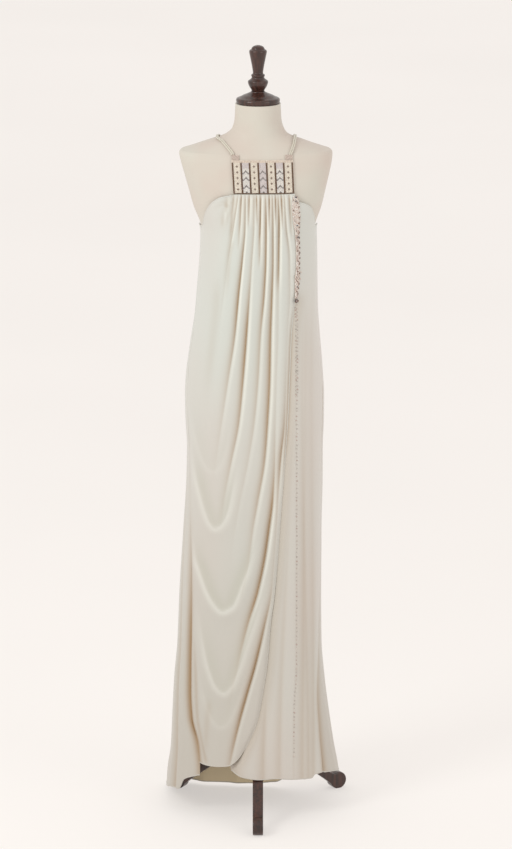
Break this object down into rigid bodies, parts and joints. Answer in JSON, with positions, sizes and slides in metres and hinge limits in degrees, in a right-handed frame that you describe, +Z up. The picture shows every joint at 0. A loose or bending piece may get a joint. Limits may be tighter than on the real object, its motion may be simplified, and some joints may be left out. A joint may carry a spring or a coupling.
{
  "type": "evening dress on dress form",
  "caption": "Full-length sleeveless evening dress with a gathered, draped front and a beaded yoke, worn on a limbless dress form on a turned tripod stand.",
  "frame": {"origin": "on the floor, at the middle of the part's box seen from above; the stand's pole is 50 mm behind it", "axes": "+Z up, the front of the dress faces -Y, and +X is the right of the picture (the wearer's left)"},
  "size_m": [0.428, 0.3717, 1.792],
  "materials": {
    "ivory_crepe": "soft satin crepe with a low sheen",
    "beadwork": "cloth covered with small glass beads",
    "form_cloth": "matt knitted cloth stretched over a padded form",
    "dark_wood": "dark red-brown stained wood, polished"
  },
  "bodies": {
    "root": {"front_drape": "ivory_crepe", "front_right_panel": "ivory_crepe", "back_panel": "ivory_crepe", "beaded_yoke": "beadwork", "strap_left": "ivory_crepe", "strap_right": "ivory_crepe", "strap_tab_left": "beadwork", "strap_tab_right": "beadwork", "beaded_edging": "beadwork", "edging_knot": "beadwork", "form_torso": "form_cloth", "neck_cap": "dark_wood", "finial": "dark_wood", "pole": "dark_wood", "hub": "dark_wood", "leg_front": "dark_wood", "leg_left": "dark_wood", "leg_right": "dark_wood"}
  },
  "joints": []
}
